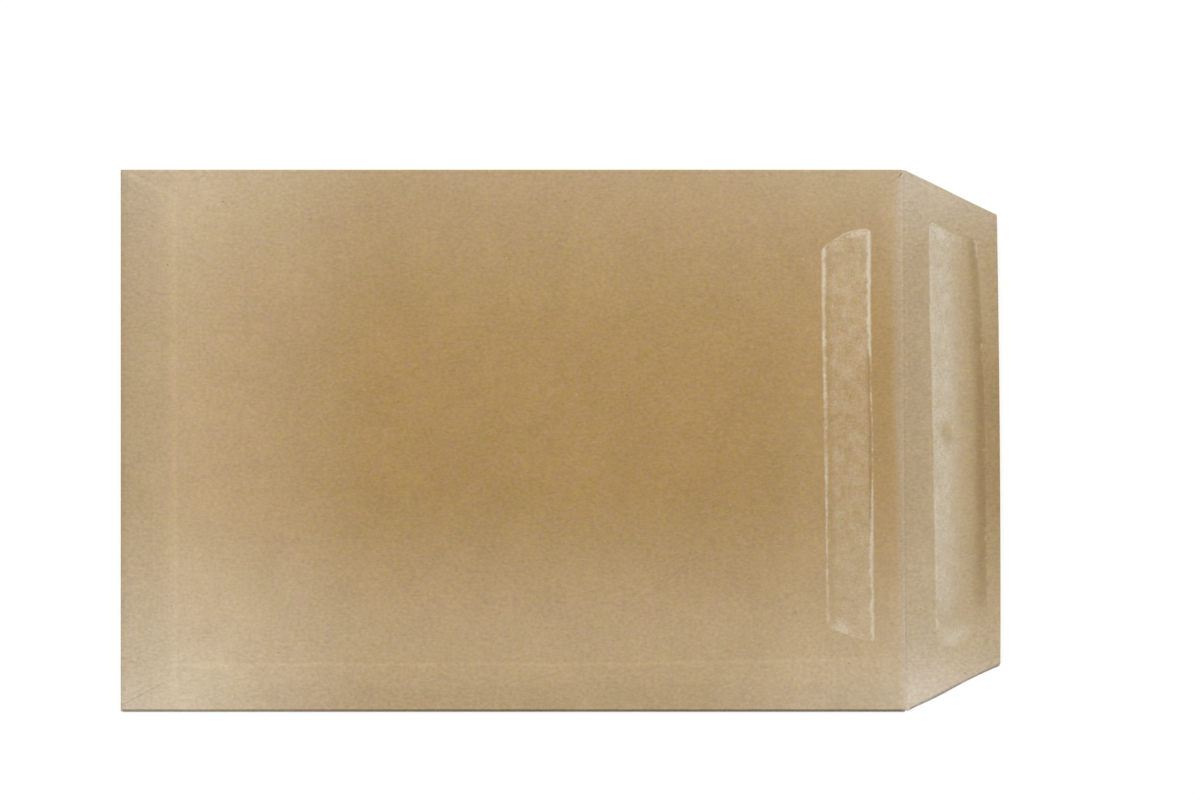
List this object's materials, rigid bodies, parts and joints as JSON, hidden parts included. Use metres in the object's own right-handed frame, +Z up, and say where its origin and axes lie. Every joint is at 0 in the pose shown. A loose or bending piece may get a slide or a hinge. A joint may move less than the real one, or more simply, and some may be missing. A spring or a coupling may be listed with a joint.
{
  "type": "paper envelope",
  "caption": "Large kraft paper pocket envelope, empty, with its seal flap open at one short end, a glued side seam and bottom flap, and dried latex gum strips on the flap and the back panel.",
  "frame": {"origin": "middle of the address panel's outer face, on the surface the envelope lies on", "axes": "+X towards the open seal flap, +Y towards the plain folded side, +Z up through the back panel"},
  "size_m": [0.3698, 0.228, 0.0075],
  "materials": {
    "kraft_paper": "matt unbleached kraft paper with a fine mottled fibre grain",
    "latex_gum": "thin dried latex, milky in places and clear in others, with raised edge beads",
    "seam_glue": "dried starch paste, hidden in the seams"
  },
  "bodies": {
    "root": {"folded_sheet": "kraft_paper", "flap_gum_strip": "latex_gum", "back_gum_strip": "latex_gum", "side_seam_glue": "seam_glue", "bottom_seam_glue": "seam_glue"}
  },
  "joints": []
}
